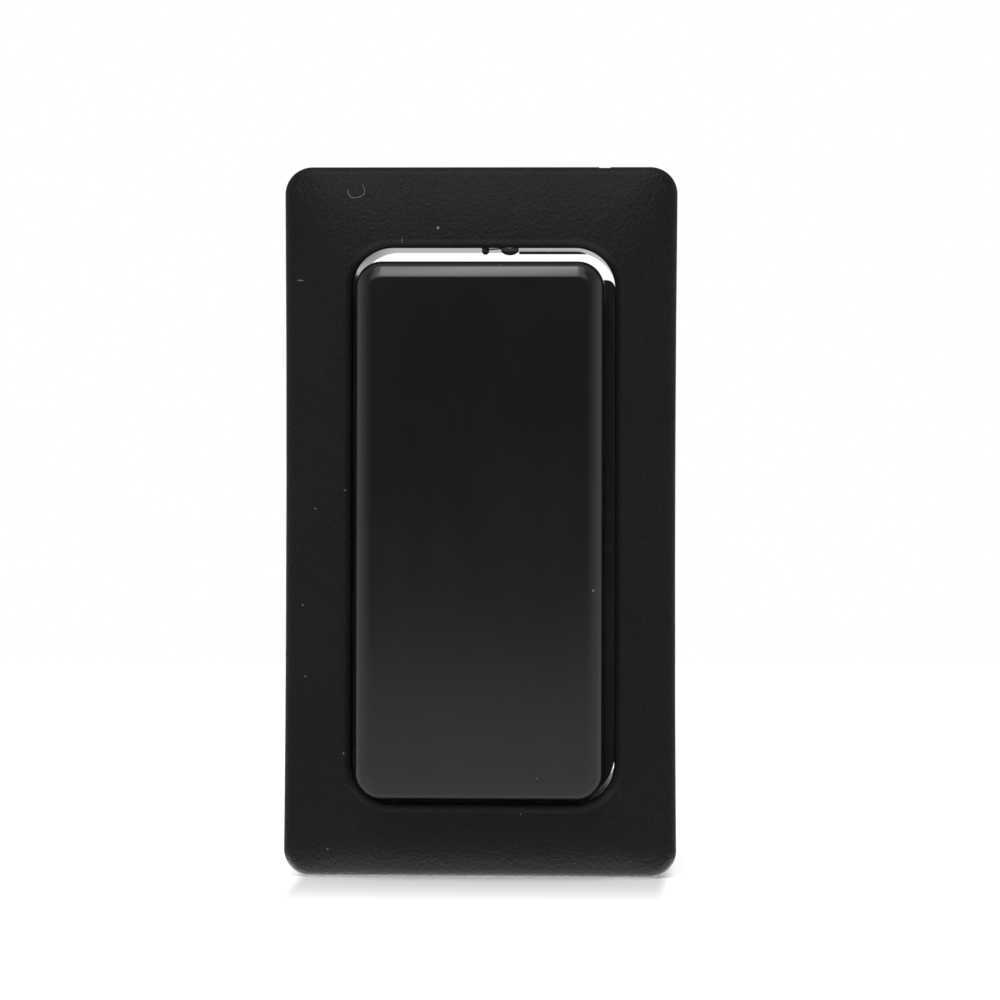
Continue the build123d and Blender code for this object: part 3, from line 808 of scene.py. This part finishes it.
def paper():
    finish = Finish("paper", {"Roughness": 0.9, "Specular IOR Level": 0.1, "Emission Strength": 1.0})
    fibre_noise = finish.noise(finish.place, 4 * MM, detail=4)
    finish.feed("Base Color", finish.colours(fibre_noise, grey(PAPER_DARK), grey(PAPER_LIGHT)))
    x, y, _ = finish.split(finish.place)
    beside = SIDEWAYS_HASTE * (abs(x) - bezel_high.x + PAINTED_SHADOW_INSET).at_least(0.0)
    before = (abs(y) - abs(RIM_FRONT)).at_least(0.0)
    away = (beside * beside + before * before) ** 0.5
    # Painted shadow: the paper glows less close to the switch.
    shown = finish.colours(finish.step(away, GLOW_STARTS, GLOW_FULL), grey(PAINTED_SHADOW_GLOW), grey(GLOW_FAR))
    ray_length = finish.node("ShaderNodeLightPath", output="Ray Length")
    # Painted reflection: short reflected rays that meet the paper right under the bezel see a strong glow.
    under = finish.step(y, GLOSS_STARTS, GLOSS_FULL)
    close = 1 - finish.step(ray_length, CLOSE, NO_LONGER_CLOSE)
    painted_reflection = finish.colours(under * close, grey(GLOSS_FAR), grey(PAINTED_REFLECTION_GLOW))
    camera_ray = finish.node("ShaderNodeLightPath", output="Is Camera Ray")
    glossy_ray = finish.node("ShaderNodeLightPath", output="Is Glossy Ray")
    in_gloss = finish.colours(glossy_ray, grey(0.0), painted_reflection)
    finish.feed("Emission Color", finish.colours(camera_ray, in_gloss, shown))
    return finish.material


deselect_all()
floor_middle = (FLOOR_FRONT + FLOOR_BACK) / 2
bpy.ops.mesh.primitive_plane_add(size=1, location=(0, floor_middle, FLOOR_Z))
floor = bpy.context.object
floor.name = "paper_floor"
floor.scale = (2 * FLOOR_HALF_WIDTH, FLOOR_BACK - FLOOR_FRONT, 1)
settle(floor)
dress(floor, paper())

# %% [markdown]
# ## Light
#
# One tall softbox stands in front of the switch, a little to the left and above it, at about fifty degrees.
# It draws the bright band along the top edge of the cap. A softbox is brightest in the middle and falls off
# towards its sides, and that is what lets the band fade round the corners of the cap, so it is made of a
# narrow bright lamp with a wide faint one just behind.
#
# The rest is the room. It is pale at the sides, dimmer overhead and dark behind the camera. Behind the
# switch it is dimmer too, but pale again in the middle, where a backdrop hangs. A lamp for each of those
# would work as well, but the room is one smooth change of brightness with direction, so the world shader
# does it in a few sums. Camera rays see plain white.

# %% Lamps
LAMP_ELEVATION = radians(50)
LAMP_X = -28 * MM
LAMP_LENGTH = 840 * MM
MIDDLE_WIDTH, MIDDLE_DISTANCE, MIDDLE_RADIANCE = 62 * MM, 600 * MM, 6.3
WINGS_WIDTH, WINGS_DISTANCE, WINGS_RADIANCE = 450 * MM, 606 * MM, 1.2


def softbox(name, width, distance, radiance):
    """A lamp aimed at the switch. Its power is what gives its face that radiance, whatever its size."""
    data = bpy.data.lights.new(name, "AREA")
    data.shape = "RECTANGLE"
    data.size = width
    data.size_y = LAMP_LENGTH
    data.energy = radiance * pi * width * LAMP_LENGTH
    lamp = bpy.data.objects.new(name, data)
    bpy.context.scene.collection.objects.link(lamp)
    lamp.location = (LAMP_X, -distance * cos(LAMP_ELEVATION), distance * sin(LAMP_ELEVATION))
    lamp.rotation_euler = (-lamp.location).to_track_quat("-Z", "Y").to_euler()
    lamp.visible_camera = False
    print(name, round(data.energy, 2), "W")


softbox("softbox_middle", MIDDLE_WIDTH, MIDDLE_DISTANCE, MIDDLE_RADIANCE)
softbox("softbox_wings", WINGS_WIDTH, WINGS_DISTANCE, WINGS_RADIANCE)

# %% Room
FRONT_LIGHT, SIDE_LIGHT, BACKDROP_LIGHT = 0.03, 0.9, 0.5
DIM_ABOVE, DIM_BEHIND = 0.45, 0.5
BACKDROP_STARTS, BACKDROP_FULL = 0.7, 0.95
ABOVE_STARTS, ABOVE_FULL = 0.2, 0.6
BEHIND_STARTS, BEHIND_FULL = 0.0, 0.6


def room():
    """A world whose brightness depends on the direction: depth is towards the back, height is up."""
    world = bpy.data.worlds.new("room")
    world.use_nodes = True
    bpy.context.scene.world = world
    nodes = Nodes(world.node_tree)
    direction = nodes.node("ShaderNodeTexCoord", output="Generated")
    _, depth, height = nodes.split(direction)
    sideways = nodes.node("ShaderNodeClamp", sockets={"Value": depth + 1.0})
    backdrop = nodes.step(depth, BACKDROP_STARTS, BACKDROP_FULL)
    brightness = FRONT_LIGHT + SIDE_LIGHT * sideways ** 0.5 + BACKDROP_LIGHT * backdrop
    dim_above = 1 - DIM_ABOVE * nodes.step(height, ABOVE_STARTS, ABOVE_FULL)
    dim_behind = 1 - DIM_BEHIND * nodes.step(depth, BEHIND_STARTS, BEHIND_FULL)
    camera_ray = nodes.node("ShaderNodeLightPath", output="Is Camera Ray")
    lit = brightness * dim_above * dim_behind
    shown = nodes.node("ShaderNodeMix", {"data_type": "FLOAT"}, {0: camera_ray, 2: lit, 3: 1.0})
    background = next(n for n in world.node_tree.nodes if n.type == "BACKGROUND")
    background.inputs["Color"].default_value = grey(1.0)
    feed(world.node_tree, background.inputs["Strength"], shown)


room()
bpy.context.scene.view_settings.view_transform = "Standard"
